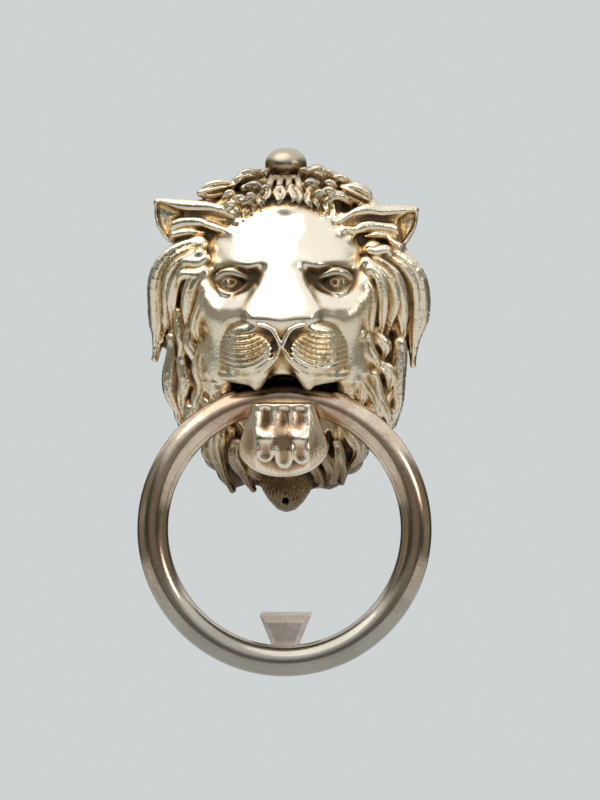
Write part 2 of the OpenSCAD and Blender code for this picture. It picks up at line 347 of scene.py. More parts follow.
def base_form(S):
    """The low dome under the mane, rounded over at the casting's edge."""
    s, (x, o, z) = S.window((-70, -5, -80), (70, 70, 90))
    d = -smooth_min(inside_outline(x, z) + 0 * o, (ground(x, z) - o) * 0.85, 4.0)
    S.field[s] = np.minimum(S.field[s], d)
    S.ellipsoid((0, 4, 30), (36, 29, 35), k=6)


def brow(z):
    """How far out the middle of the forehead stands, in mm."""
    up = z - 32
    return 46.3 - 0.36 * up - 0.0095 * up**2


def forehead(S):
    """The broad sloping brow, whose lower edge overhangs the eyes."""
    s, (x, o, z) = S.window((-42, 5, 22), (42, 60, 66))
    ax = np.abs(x)
    front = brow(z) - 0.016 * x**2
    front = front + 2.0 * np.exp(-((ax - 17) / 9)**2 - ((z - 31) / 6)**2)
    front = front - 0.8 * np.exp(-(x / 4.5)**2 - ((z - 45) / 8)**2)
    uneven = np.sin(x / 2.3 + 1.7 * np.sin(z / 3.1)) * np.sin(z / 2.7 + 1.3 * np.sin(x / 3.7))
    front = front + 0.22 * uneven + 0.9 * np.exp(-((ax - 9) / 6)**2 - ((z - 50) / 7)**2)
    edge = 34.4 - 0.085 * ax - 1.0 * step(24, 32, ax)
    under = (edge - z - 0.34 * (front - o)) * 0.92
    side = (ax - 31.5 + 0.35 * np.maximum(z - 40, 0)) * 0.85
    top = (z - 66 + 0.006 * x**2) * 0.7
    d = np.maximum(-smooth_min((front - o) * 0.9, -under, 2.6),
                   -smooth_min(-top, -side, 6))
    S.blend(s, d, 2.5)
    # three shallow dents
    for x, z, r in ((-6.2, 46.0, 1.6), (-2.6, 41.8, 1.3), (0.3, 34.8, 1.6)):
        S.ellipsoid((x, brow(z) + 0.7, z), (r, 1.2, r * 0.8), k=1.6, carve=True)


def eyes(S):
    """A ball in a hollow socket, with lids round it."""
    for side in (-1, 1):
        S.ellipsoid((side * 21, 43.5, 26.0), (8.6, 7, 5.0), k=2.0, carve=True,
                    turn=side * -6)
        S.ellipsoid((side * 12.5, 45, 28.4), (3.2, 4.6, 1.8), k=2, carve=True,
                    turn=side * -30)
        S.ellipsoid((side * 21.6, 34.0, 25.2), (6.2, 6.2, 5.2), k=0.8)
        # upper lid, lower lid and the fold below it
        S.tube(mirrored(side, (28.6, 34, 26.2), (26, 37.8, 29.2), (21.8, 39.9, 30.2),
                (17.6, 39.8, 28.8), (13.6, 39.2, 26.6)),
               [1.3, 1.7, 1.9, 1.6, 0.9], k=0.5)
        S.tube(mirrored(side, (28.6, 34, 26.0), (26, 37.2, 21.8), (22, 39.2, 20.5),
                (18, 39.5, 21.8), (14.2, 39.0, 25.6)),
               [1.1, 1.4, 1.6, 1.4, 0.9], k=0.5)
        S.tube(mirrored(side, (28, 33.4, 18.4), (23.5, 36.6, 16.4), (18.5, 38.8, 17.6)),
               [0.7, 1.0, 0.7], k=3, carve=True)
        # iris and pupil
        ring = [(side * 21.4 + 3.0 * math.cos(a), 39.9 - 0.35 * math.cos(a)**2,
                 25.3 + 2.8 * math.sin(a)) for a in np.linspace(0, 2 * math.pi, 13)]
        S.tube(ring, [0.65], k=0.3, carve=True, n=25)
        S.ellipsoid((side * 21.4, 40.4, 25.5), (1.2, 1.5, 1.2), k=0.4, carve=True)


def nose(S):
    """A flat-topped wedge that widens and stands out towards its tip."""
    # slopes that join the nose to the eyes' corners and the cheeks
    for side in (-1, 1):
        S.tube(mirrored(side, (8, 36, 31), (13, 38.5, 22), (17, 41, 12)), [5, 6, 6.5], k=8)
    s, (x, o, z) = S.window((-27, 20, 0), (27, 66, 56))
    ax = np.abs(x)
    half = np.interp(z, (9, 13, 16, 20, 25, 30, 36), (15.6, 15.2, 14.0, 11.8, 8.8, 6.6, 5.8))
    past = 0.5 * (ax - half + np.sqrt((ax - half)**2 + 1.6))
    front = 45.9 + 0.575 * (33 - z) - 0.010 * x**2 - 1.7 * past
    edge = 9.9 - 1.0 * np.exp(-(x / 5)**2) + 3.6 * step(11.5, 18, ax)
    under = (edge - z - 0.75 * (front - o)) * 0.8
    back = 36 - 0.5 * (33 - z) - o
    d = -smooth_min((front - o) * 0.72, -under, 2.0)
    S.blend(s, np.maximum(np.maximum(d, back), 0.5 * (z - 39)), 4.0)
    # the septum, a V under the nose's tip
    S.tube([(0, 54.4, 9), (0, 54.2, 5.5), (0, 53.6, 1.5)], [3.0, 2.2, 1.6], k=1.6)


def nostrils(S):
    """The slot over each pad and the thin rims that meet below the nose."""
    for side in (-1, 1):
        S.tube(mirrored(side, (9.8, 56.8, 4.6), (5.8, 56.8, 4.0), (3.6, 56.8, 0.4)),
               [1.4, 2.0, 1.1], k=1.4, carve=True)
        S.tube(mirrored(side, (11.5, 56.7, 7.2), (7.5, 57.1, 7.0), (3.8, 57.0, 5.4),
                (1.6, 56.6, 1.8), (0.4, 56.0, -1.4)),
               [0.6, 0.9, 1.0, 1.0, 1.0], k=0.6)
        S.tube(mirrored(side, (18.0, 51.6, 12.4), (16.2, 54.2, 9.4), (13.5, 56.4, 7.6),
                (10, 57.0, 6.6)), [0.5, 1.3, 1.3, 0.7], k=0.5, carve=True)


# A whisker pad: its middle, half its width and height, and the pitch of its rows
PAD_X, PAD_Z = 13.6, -2.2
PAD_HALF_WIDTH, PAD_HALF_HEIGHT = 11.8, 11.6
ROW_PITCH = 2.15


def whisker_steps(x, z):
    """Overlapping curved rows across the whisker pads, as in shiplap."""
    dx = np.abs(x) - 17.0
    row = (z - np.where(dx < 0, 0.036, 0.030) * dx**2 - PAD_Z) / ROW_PITCH
    saw = row - np.floor(row)
    return np.where(saw > 0.8, (1 - saw) / 0.2, saw / 0.8)


def whisker_pad(S, side):
    """A rounded block, cut into rows, that turns back towards the cheek."""
    s, (x, o, z) = S.window((-31, 25, -22), (31, 62, 14))
    u = (side * x - PAD_X) / PAD_HALF_WIDTH
    w = (z - PAD_Z + 0.10 * (side * x - PAD_X)) / PAD_HALF_HEIGHT
    r = (np.abs(u)**2.8 + np.abs(w)**2.8)**(1 / 2.8)
    reach = 0.2 * step(0.0, 0.5, u)
    rows = (whisker_steps(x, z) * (1 - step(0.80, 0.92, r - reach))
            * (1 - step(3.6, 5.4, z)))
    front = (55.6 - 3.2 * u - 4.2 * np.maximum(u, 0)**2 - 1.6 * r**2
             - 16 * step(0.78, 1.28, r + 0.06 * rows) + 0.2 * w)
    d = (o - front + 0.62 * rows) * 0.72
    S.blend(s, np.maximum(d, (r - 1.4) * 10), 2.2)


def upper_lip(S, side):
    """The lip's rim, from the foot of the pad to the mouth's corner."""
    S.tube(mirrored(side, (1.4, 52.4, -0.5), (2.4, 52.4, -4.4), (6.0, 51.6, -9.4),
            (10.6, 49.8, -12.6), (15.5, 46.8, -13.6), (21, 42.6, -13.4),
            (26, 36, -12.4)), [1.6, 2.1, 2.5, 2.6, 2.4, 2.2, 1.8], k=1.2)
    # the groove above the rim, and the thin bead along it
    S.tube(mirrored(side, (3.2, 55.0, 0.2), (4.7, 54.9, -4.4), (8.8, 53.9, -9.2),
            (13.6, 51.2, -11.4), (20, 46.6, -11.4)),
           [0.5, 0.9, 0.9, 0.7, 0.4], k=0.7, carve=True)
    S.tube(mirrored(side, (0.5, 55.0, -0.8), (2.2, 54.7, -5.2), (6.0, 53.9, -10.0),
            (10.8, 51.9, -12.9), (16, 48.6, -13.8), (21, 44.4, -13.2),
            (25, 39, -12.2)), [0.9, 1.0, 1.1, 1.1, 1.0, 0.9, 0.6], k=0.5)


def fang(S, side):
    """A fang, and the lip's edge from it to the mouth's corner."""
    S.tube(mirrored(side, (9.8, 48.8, -12.6), (10.6, 47.6, -16.2), (10.6, 46.4, -18.9)),
           [4.4, 2.8, 0.9], k=2.2)
    S.tube(mirrored(side, (10.6, 47, -15.4), (14.5, 45.8, -15.0), (19, 43.2, -14.2),
            (24, 38.5, -13.6)), [2.6, 2.3, 2.1, 1.8], k=1.5)


def muzzle(S):
    """The muzzle with its pads, lips and fangs."""
    S.ellipsoid((0, 34, -1), (25, 15, 14), k=3)
    S.ellipsoid((0, 41, 3.5), (20, 11.5, 7.5), k=2)
    for side in (-1, 1):
        whisker_pad(S, side)
        upper_lip(S, side)
        fang(S, side)
    # the lip between the pads, over the arch
    S.tube([(0, 50.8, -2), (0, 49.4, -6.5), (0, 47.2, -9.6)], [3.0, 4.8, 5.0], k=1.8)


def cheeks(S):
    """Each cheek's two bulges, and the ridge from the eye down to the muzzle."""
    for side in (-1, 1):
        S.ellipsoid((side * 24, 18, 12), (12.5, 20.5, 25), k=6)
        S.ellipsoid((side * 26, 16, -8), (10.5, 17, 16), k=6)
        S.tube(mirrored(side, (33.5, 29, 28), (31.5, 32, 20), (27.5, 35.0, 13),
                (23, 36.5, 9)), [2.4, 3.0, 3.4, 3.4], k=7)


def under_mouth(S):
    """The open mouth and the flat seat behind the ring and the jaw."""
    s, (x, o, z) = S.window((-30, 18, -80), (30, 44, -8))
    side = np.abs(x) - 21.5
    lips = o - 40.0
    d = np.maximum(np.maximum(z + 15.6, 21 - o), np.maximum(side, lips))
    S.blend(s, d, 0.8, True)
    s, (x, o, z) = S.window((-12, 18, -40), (12, 70, -8))
    arch = np.sqrt((x / 8.0)**2 + ((z + 20) / 7.0)**2) - 1
    S.blend(s, np.maximum(arch * 7.5, 21 - o), 0.8, True)


# A lock of the mane: its middle line from root to tip as (x, o, z), its half-width,
# how far it stands proud, and its number of strands
LOCKS_LEFT = (
    (((-36, 26, 42), (-45.6, 23, 37), (-52, 18.5, 28), (-53.8, 14, 15), (-55.2, 11, 4),
     (-56.6, 8, -6)), 6.4, 5, 3),
    (((-38, 28, 38), (-46, 25, 31), (-49.5, 21, 22), (-51, 17, 12), (-52.3, 12, 2)), 4.0, 4.5, 2),
    (((-35, 31, 38), (-42, 28.5, 33), (-46, 25.5, 25), (-47, 22, 15), (-48.5, 18, 6)), 3.8, 4, 2),
    (((-33, 32, 36), (-39.5, 30.5, 34.5), (-44.5, 28, 30.5)), 3.0, 3, 1),
    (((-34, 32, 31), (-41, 30.5, 29), (-45.5, 27, 24)), 2.6, 3, 1),
    (((-35, 31, 29), (-39.5, 29.5, 23), (-42, 27, 14), (-41, 24, 5)), 3.6, 4, 2),
    (((-34, 31, 25), (-36, 29.5, 15), (-37, 27, 6), (-35, 24, -3)), 3.0, 3, 2),
    (((-44, 22, 14), (-44.5, 21.5, 5), (-43.8, 20, -3), (-45.4, 16, -12)), 3.4, 4, 2),
    (((-39, 25, 8), (-40, 24, 0), (-38.5, 22, -7), (-40.5, 18.5, -14)), 3.4, 3.6, 2),
    (((-49, 16, 3), (-48, 15, -6), (-48.4, 14, -16), (-47, 12.5, -26), (-44.5, 10, -36)),
     4.2, 4, 3),
    (((-43, 19, -6), (-43, 18, -14), (-44.3, 16.5, -22), (-42, 14, -33)), 3.8, 3.6, 2),
    (((-34, 25, -2), (-36.5, 22, -10), (-35, 20, -18), (-37.5, 17.5, -28), (-39.5, 13, -39)),
     4.2, 3.6, 3),
    (((-30.5, 26, 0), (-29.5, 24, -8), (-27.5, 21.5, -15), (-28, 18, -22)), 3.0, 3, 2),
    (((-31, 21, -14), (-29.5, 19.5, -22), (-31.5, 18, -30), (-34.5, 13, -42)), 3.8, 3.4, 2),
    (((-40, 17, -27), (-41.5, 15, -34), (-38, 12, -40.5)), 3.0, 3, 1),
    (((-26, 19, -30), (-28, 18, -38), (-30, 16, -44), (-28, 12.5, -52), (-22.5, 8, -61.8)),
     5.0, 4, 3),
    (((-32, 16, -40), (-33, 13.5, -45), (-29.5, 10, -52)), 3.0, 3, 1),
    (((-20, 18, -42), (-20.5, 16.5, -49), (-17.5, 13, -56), (-13.5, 8, -61.5)), 4.6, 4, 3),
    (((-12, 18, -46), (-13, 16, -53), (-9.5, 12, -60)), 3.6, 3, 2),
)
LOCKS_RIGHT = (
    (((37, 26, 40), (47, 23, 35), (53.5, 18.5, 27), (55.6, 14, 14), (54.9, 12, 3),
     (54.6, 8, -8.6)), 6.4, 5, 3),
    (((38, 28, 35), (45.5, 25.5, 28), (49.3, 22, 19), (50, 18, 9), (49.2, 13.5, -1)), 4.2, 4.5, 2),
    (((35, 31, 35), (41, 29, 30), (44.8, 26, 22), (45, 22.5, 12), (44, 18.5, 3)), 3.8, 4, 2),
    (((36, 32, 31), (40.5, 30, 26), (42.3, 28, 18), (41, 25, 9), (39, 22, 1)), 3.2, 3.6, 2),
    (((34, 31, 26), (36.5, 29.5, 18), (37, 27.5, 9), (35.5, 24, -1)), 3.0, 3, 2),
    (((45.3, 23.5, 44.5), (47.5, 23, 39.5), (50.3, 21, 33.5)), 2.2, 3.6, 1),
    (((36, 30, 40), (42, 28, 39), (46, 25, 35)), 2.4, 3, 1),
    (((38.5, 24, 6), (41, 22.5, 0), (42.3, 18.5, -8)), 3.4, 4, 2),
    (((34.5, 26, 2), (37.5, 24, -4), (38.5, 21, -12)), 3.2, 3.4, 2),
    (((47.5, 17, 1), (47.6, 15.5, -8), (47.6, 14, -17), (46.5, 12, -27), (43.5, 9.5, -36)),
     4.4, 4, 3),
    (((40, 21, -7), (43.5, 18.5, -13), (45.6, 15, -21)), 3.6, 3.8, 2),
    (((30.5, 24, -5), (32.5, 21.5, -14), (35.5, 19.5, -22), (38.5, 16.5, -30), (40.5, 13, -38.5)),
     4.2, 3.6, 3),
    (((37, 21, -13), (40, 18.5, -21), (42.5, 15.5, -29), (43, 12, -36)), 3.6, 3.4, 2),
    (((29, 24, 0), (28, 22.5, -9), (28.5, 20, -17), (31, 17.5, -25)), 3.0, 3, 2),
    (((28, 19, -20), (30, 18.5, -28), (33.5, 16, -36), (35, 12.5, -43)), 3.8, 3.4, 2),
    (((25.5, 18.5, -31), (29, 17, -39), (30.5, 15, -46), (27, 11, -54)), 4.8, 4, 3),
    (((21, 18, -42), (23, 17, -48), (24.5, 14.5, -53), (23, 10, -59)), 3.6, 4, 2),
    (((16.5, 18, -46), (18.5, 16.5, -52), (19.5, 13, -57.5), (18.8, 9, -61)), 3.8, 4, 3),
    (((11.5, 17.5, -49), (13.5, 15.5, -54), (13, 12.5, -58.5), (12, 9.5, -61)), 3.6, 3.6, 2),
)


# The tuft at the foot of the beard
TUFT = ((-12, -54), (-12, -58.5), (-10, -62), (-7.6, -66), (-3.6, -70.4), (0, -71.6),
        (3.8, -70.6), (7.0, -67.6), (9.8, -63.4), (12, -58.5), (12, -54))


def hair_flow(x, z):
    """The direction in which the mane's hair runs at a place on it."""
    if z > 52:
        d = np.array([math.tanh(x / 6), -0.45 - 0.6 * math.exp(-(x / 8)**2)])
    elif z < -38:
        d = np.array([-0.4 * x, -30.0])
    else:
        d = np.array([math.copysign(1, x) * (0.012 * z - 0.03), -1.0])
    return d / np.linalg.norm(d)


def on_face(x, z):
    """Whether a place lies on the smooth face, clear of the mane."""
    return (abs(x) / 34)**2.6 + (abs(z - 20) / 41)**2.6 < 1


def small_locks(S):
    """Rows of short wavy locks that fill the mane between the large ones."""
    rng = np.random.default_rng(7)
    for row, z0 in enumerate(np.arange(72, -70, -6.2)):
        for col in range(-11, 12):
            x = (col + 0.5 * (row % 2)) * 5.6 + rng.uniform(-1.2, 1.2)
            z = z0 + rng.uniform(-1.6, 1.6)
            bend, phase = rng.uniform(1.0, 2.4), rng.uniform(0, 2 * math.pi)
            length, width = rng.uniform(10, 15), rng.uniform(2.1, 3.0)
            if z > 50:
                length, width = 0.8 * length, 1.1 * width
            elif z < -36:
                width = 1.25 * width
            depth = float(inside_outline(np.array(x), np.array(z)))
            run = hair_flow(x, z)
            at = np.array([x, z])
            tip = at + run * length * 0.6
            tip_depth = float(inside_outline(tip[0], tip[1]))
            if depth < 3.0 or tip_depth < 1.5 or on_face(x, z) or on_face(*tip):
                continue
            across = np.array([-run[1], run[0]])
            points = []
            for t in np.linspace(0, 1, 5):
                q = at + run * length * (t - 0.4) + across * bend * math.sin(phase + 4.6 * t)
                h = float(ground(np.array(q[0]), np.array(q[1])))
                points.append((q[0], h + 0.6 + 1.0 * math.sin(math.pi * t) - 1.2 * t, q[1]))
            S.lock(points, width, 2.8, int(rng.integers(2, 4)), groove=0.55, k=0.4, back=6)


def beard_tuft(S):
    """The pointed tuft at the foot, with hair that fans out from the jaw."""
    s, (x, o, z) = S.window((-16, 2, -75), (16, 30, -48))
    front = 18.0 - 0.020 * x**2 - 0.030 * np.maximum(-60 - z, 0)**2
    ray = np.arctan2(x, -(z + 45)) / 0.075
    front = front - 1.0 * (1 - np.abs(np.sin(np.pi * (ray + 0.3 * np.sin(z / 2.5)))))
    tuft = -smooth_min(inside(TUFT, x, z) + 0 * o, (front - o) * 0.8, 2.0)
    S.blend(s, tuft, 0.5)


def mane(S):
    """Small locks, large ones over them, and the beard's tuft."""
    small_locks(S)
    for points, w, t, strands in LOCKS_LEFT + LOCKS_RIGHT:
        tip = 0.4 if points[-1][2] < -50 else 0.3
        wave = 0.5 if w > 6 else 0.9
        S.lock(points, w, t, strands, k=0.5, tip=tip, wave=wave)
    beard_tuft(S)


# An ear: its outline, the outline of its open hollow, and then as (x, z) the middle
# lines of the groove between its folds and of each fold, with the fold's half-width
EARS = (
    (((-18, 58), (-26, 60.2), (-37, 61), (-46, 61.8), (-53.6, 62.2), (-56, 60.2),
      (-56.2, 55.5), (-55, 50.5), (-52.4, 46.2), (-49.8, 43.8), (-45, 44), (-38, 44.5),
      (-28, 43), (-18, 44)),
     ((-54.8, 60.2), (-55.0, 55.5), (-53.8, 50.8), (-51.6, 47.0), (-49.9, 45.4),
      (-49.0, 49), (-48.2, 52.8), (-44, 54.6), (-42.5, 55.8), (-45.5, 57.6), (-49, 59.2),
      (-53, 60.6)),
     ((-46, 55.6), (-40, 55.2), (-33, 54.9), (-25.5, 53.2)),
     (((-54, 60.6), (-46, 59.4), (-38, 58.6), (-30, 57.9), (-22, 54.9)), 2.8),
     (((-48.4, 50.4), (-42.5, 52.0), (-36.5, 52.0), (-30.5, 50.2)), 3.0),
     (((-47.2, 46.6), (-41, 47.6), (-34, 47.2)), 2.2),
     (((-33, 50.6), (-27.5, 48.8), (-20.5, 46.4)), 2.0)),
    (((18, 54), (26, 56.5), (35.8, 58.8), (46, 58.8), (54.2, 58.4), (56.4, 56.3),
      (56.2, 52.5), (55, 48.6), (52.2, 44), (49.1, 41), (44, 42), (36, 42.5), (27, 41),
      (18, 42)),
     ((55, 56.2), (55.2, 52.5), (53.9, 48.8), (51.4, 45), (49.6, 43.1), (48.6, 46.4),
      (47.6, 50.2), (47.8, 53.4), (52.0, 56)),
     ((47, 53.4), (41, 52.8), (35, 53.2), (27, 51.6)),
     (((54.6, 57.0), (48, 56.9), (41, 56.2), (35, 56.8), (29, 55.4), (23.5, 51.8)), 2.7),
     (((46.8, 48.8), (41, 50.0), (35, 50.2), (30.5, 48.2), (27, 44.2)), 3.0),
     (((46, 45.2), (40, 46.2), (34, 45.6)), 2.1),
     (((30, 48.4), (25, 48.2), (20.5, 46)), 1.8)),
)


def ear_front(x):
    """How far out an ear's front stands, in mm."""
    return 31.0 - 0.32 * (np.abs(x) - 18)


def ears(S):
    """Each ear: a leaf with folds along it, an open hollow and a groove."""
    for outline, hollow, groove, *folds in EARS:
        side = 1 if outline[0][0] > 0 else -1
        s, (x, o, z) = S.window((min(0, side * 60), 4, 38), (max(0, side * 60), 40, 66))
        front = ear_front(x) - 2.2 * step(52, 46, z)
        edge = inside(outline, x, z) + 0 * o
        d = -smooth_min(edge, (front - o) * 0.9, 3.5)
        S.blend(s, np.maximum(d, (front - 8.6 - o) * 0.9), 2.5)
        for points, w in folds:
            line = [(x0, ear_front(x0) - 0.9, z0) for x0, z0 in points]
            S.lock(line, w, 3.0, 1, k=1.0, root=0.8, tip=0.45, back=6)
        floor = ear_front(x) - 6.4
        bowl = -smooth_min(inside(hollow, x, z) + 0 * o, (o - floor) * 0.9, 3.2)
        S.blend(s, bowl, 0.7, True)
        line = [(x0, ear_front(x0) + 0.6, z0) for x0, z0 in groove]
        S.tube(line, [1.5, 1.2, 0.7], k=1.0, carve=True)


# The curls of the crown: the middle of each as (x, o, z), its radii, and its turn
CURLS = (
    ((-15.3, 17, 71), (4.6, 6, 3.1), 10), ((-12, 23.5, 65.6), (3.8, 5, 3.1), -20),
    ((-18.6, 25, 60.6), (3.3, 5, 2.6), 0), ((-23, 26, 58.2), (2.4, 4, 1.9), 0),
    ((-8.6, 17.5, 71.6), (3.0, 5, 2.6), 30), ((13.8, 17, 71.2), (4.6, 6, 3.7), 0),
    ((23.5, 15, 69.2), (4.2, 5, 2.6), -20), ((8.4, 17.5, 71.8), (2.6, 5, 2.4), -25),
    ((11.6, 24, 65.4), (2.8, 5, 4.0), -35), ((19, 20.5, 66.6), (3.4, 5, 2.4), -25),
    ((19, 14, 71.4), (4.0, 6, 2.6), -15), ((31.5, 14, 65.6), (5.0, 6, 2.8), -28),
    ((-19.5, 19, 69.2), (3.2, 5, 2.2), 15), ((-23, 23, 62.4), (3.4, 5, 2.2), 12),
    ((19.5, 25, 63), (3.0, 5, 2.6), -20), ((-8, 26, 64), (2.6, 5, 2.6), 20),
    ((15, 26, 61.5), (2.0, 4, 3.0), 25), ((-14, 28, 60.8), (2.0, 4, 2.8), -20),
)
# The leaf-shaped locks over the ears: side, height and turn of each
LEAVES = ((-28.4, 65.8, 12), (31.2, 62.8, -26))


def curl(S, middle, radii, turn):
    """A round lump of hair with a short two-stranded lock over it."""
    radii = (1.18 * radii[0], radii[1], 1.25 * radii[2])
    S.ellipsoid(middle, radii, k=0.8, turn=turn)
    x, o, z = middle
    dx = 1.1 * radii[0] * math.cos(math.radians(turn))
    dz = 1.1 * radii[0] * math.sin(math.radians(turn))
    S.lock(((x - dx, o + 0.45 * radii[1], z - dz - 0.5 * radii[2]),
            (x, o + 0.8 * radii[1], z + 0.4 * radii[2]),
            (x + dx, o + 0.3 * radii[1], z + dz - 0.5 * radii[2])),
           0.72 * radii[2], 2.2, 2, groove=0.7, k=0.4, back=4, wave=0.5)


def leaf(S, x0, z0, turn):
    """A leaf-shaped lock of three strands, over an ear."""
    S.ellipsoid((x0, 18, z0), (8.2, 7.5, 3.4), k=0.8, turn=turn)
    ca, sa = math.cos(math.radians(turn)), math.sin(math.radians(turn))
    for rise, w, lift in ((2.5, 1.5, 0.2), (-2.3, 1.4, 0), (0.2, 1.1, 0.8)):
        flat = ((-8, 0.1 * rise), (-3.5, rise), (2, rise), (7.5, 0.3 * rise))
        S.lock([(x0 + u * ca - v * sa, 24.0 + lift - 0.05 * abs(u)**1.6,
                 z0 + u * sa + v * ca) for u, v in flat],
               w, 2.6, 1, k=0.4, root=0.8, tip=0.4, back=5)


def fringe(S):
    """Short upright curls under the ball."""
    for i, x in enumerate((-7.4, -5.2, -3.1, -1.1, 0.9, 2.9, 5.0, 7.2)):
        bow = 0.7 * (-1)**i
        S.tube([(x * 0.8, 22.5, 71.2), (x + bow, 27.2, 67.4), (x * 1.1, 31, 62 + bow)],
               [1.0, 1.3, 0.8], k=0.3)


def hairline(S):
    """Short tapering locks that run down on to the forehead."""
    rng = np.random.default_rng(3)
    for i in range(15):
        a = (i - 7) / 7
        x = 23 * a + rng.uniform(-0.8, 0.8)
        z = 60.4 - 7.5 * a * a + rng.uniform(-1.2, 1.2)
        lean = rng.uniform(-1.6, 1.6)
        S.lock(((x * 0.9, 29.5 - 6 * a * a, z + 5), (x, 31.8 - 6 * a * a, z + 1),
                (x * 1.02 + lean, 33.2 - 6.5 * a * a, z - 3)), rng.uniform(1.6, 2.4), 2.0, 2,
               k=0.5, back=6, wave=0.7)


def crown(S):
    """The ball on its neck, and the hair round it."""
    S.ellipsoid((0, 8, 74.5), (9.5, 9, 6), k=2)
    S.ellipsoid((0, 13.5, 77.2), (8.9, 9.2, 7.0), k=0.8)
    for middle, radii, turn in CURLS:
        curl(S, middle, radii, turn)
    for x0, z0, turn in LEAVES:
        leaf(S, x0, z0, turn)
    # a lock that curls over the inner end of the right-hand ear
    S.tube([(16.6, 28, 57.4), (18.7, 28, 61.2), (23, 26.5, 62.8), (27.6, 24, 60)],
           [1.7, 2.1, 2.2, 1.8], k=0.5)
    fringe(S)
    hairline(S)


def ring_sweep(x, o, z, gap):
    """Distance to the space that the ring takes up as it swings out level."""
    best = None
    for deg in range(0, 91, 10):
        a = math.radians(deg)
        up = (z - HINGE_Z) * math.cos(a) - (o - HINGE_OUT) * math.sin(a) + RING_R
        out = (z - HINGE_Z) * math.sin(a) + (o - HINGE_OUT) * math.cos(a)
        d = np.sqrt((np.sqrt(x**2 + up**2) - RING_R)**2 + out**2) - BAR_R - gap
        best = d if best is None else np.minimum(best, d)
    return best


# The solid body behind the beard's locks: middle, radii and turn of each lump
BEARD_BODY = (
    ((-22.5, 4, -53.0), (8.0, 8.0, 8.2), 25), ((-29, 4, -47), (7, 8, 7), 0),
    ((17.5, 4, -54.5), (7.6, 8.0, 7.4), -15), ((26.5, 4, -49.0), (6.5, 8, 6.5), 0),
)


def hollow_back(S):
    """The hollow, open to the door, with the beard's body left solid."""
    S.field = np.maximum(S.field, -(S.field + WALL))
    for middle, radii, turn in BEARD_BODY:
        S.ellipsoid(middle, radii, k=0.8, turn=turn)


def fixings(S):
    """The bosses and blind holes for the studs, the holes for the jaw's screws, and
    the tuft's pin hole, which the mask's material paints dark."""
    for z, end in ((STUD_Z, 34), (-STUD_Z, 19)):
        S.rod(0, z, 5.5, (-9, 3, z - 9), (9, end, z + 9), 0.6, near=5)
        S.rod(0, z, 2.8, (-6, -3, z - 6), (6, 17.5, z + 6), 0.3, True, far=17)
    z = JAW_SCREW_Z
    for x in (-JAW_SCREW_X, JAW_SCREW_X):
        S.rod(x, z, 2.3, (x - 5, 10, z - 5), (x + 5, 26, z + 5), 0.3, True)
    S.rod(0, PIN_HOLE_Z, 1.3, (-4, 8, -71), (4, 30, -62), 0.3, True, near=11.5)


def lion_mask():
    """The mask: each form adds to those before it or carves into them."""
    S = Sculpt((-64, -3, -76), (64, 64, 87), VOXEL)
    for form in (base_form, mane, cheeks, crown, ears, forehead, nose, muzzle, nostrils,
                 eyes, under_mouth):
        form(S)
    s, (x, o, z) = S.window((-64, 20, -76), (64, 40, -10))
    S.blend(s, ring_sweep(x, o, z, 0.5), 0.5, True)
    hollow_back(S)
    fixings(S)
    # all that lies behind the door's face goes
    s, (x, o, z) = S.window((-70, -4, -80), (70, 1.5, 90))
    S.field[s] = np.maximum(S.field[s], -o)
    return S.mesh("lion_mask_sculpt")


# -------- lower jaw


def jaw_front(x, z):
    """How far out the jaw's front stands, with its folds, swellings and petals."""
    facet = np.maximum(np.abs(x) - 11.0, 0)
    front = 48.4 - 0.024 * np.maximum(-40 - z, 0)**2 - 0.008 * np.maximum(z + 39, 0)**2
    front = front - 0.004 * x**2 - 0.80 * facet
    # long folds from the lip down to a swelling on each side
    fold = step(-25.6, -28.5, z) * (1 - step(-32.5, -37.5, z))
    for x0, depth in ((-7.2, 2.1), (0.4, 1.5), (7.2, 1.4)):
        front = front - depth * fold * np.exp(-((x - x0) / 2.3)**2)
    for x0, wide in ((-6.6, 4.2), (6.8, 3.4)):
        front = front + 1.9 * np.exp(-((x - x0) / wide)**2 - ((z + 39.4) / 3.2)**2)
    # three petals on the chin, hollow in the middle and raised at their feet
    for x0, tip in ((-7.0, -49.4), (7.9, -50.2), (0.7, -52.0)):
        q = np.hypot(x - x0, np.maximum(tip + 4.4 - z, 0) * 0.85)
        petal = step(-40.5, -45, z)
        front = front + petal * (1.5 * step(4.2, 3.4, q) - 1.0 * step(3.3, 0.6, q))
    return front


def lower_jaw():
    """The jaw: a hook in front of and under the ring, with two blind screw holes."""
    S = Sculpt((-23, 19, -59), (23, 54, -20), VOXEL * 0.8)
    s, (x, o, z) = S.window((-30, 0, -80), (30, 80, 0))
    half = 12.5 + 6.5 * np.clip((-25 - z) / 18, 0, 1)
    low = np.sqrt((x / 19.0)**2 + ((z + 42.5) / 13.2)**2)
    body = np.maximum((np.abs(x) - half) * 0.93, np.where(z < -42.5, (low - 1) * 12, -50.0))
    d = -smooth_min(-body, (jaw_front(x, z) - o) * 0.8, 1.6)
    d = np.maximum(d, np.maximum(z + 25.0, 21 - o))
    S.field[s] = np.minimum(S.field[s], d)
    S.blend(s, ring_sweep(x, o, z, 0.4), 0.4, True)
    z = JAW_SCREW_Z
    for x in (-JAW_SCREW_X, JAW_SCREW_X):
        S.rod(x, z, 1.85, (x - 4, 19, z - 4), (x + 4, 32, z + 4), 0.2, True, far=31)
    return S.mesh("lower_jaw_sculpt")


# -------- materials


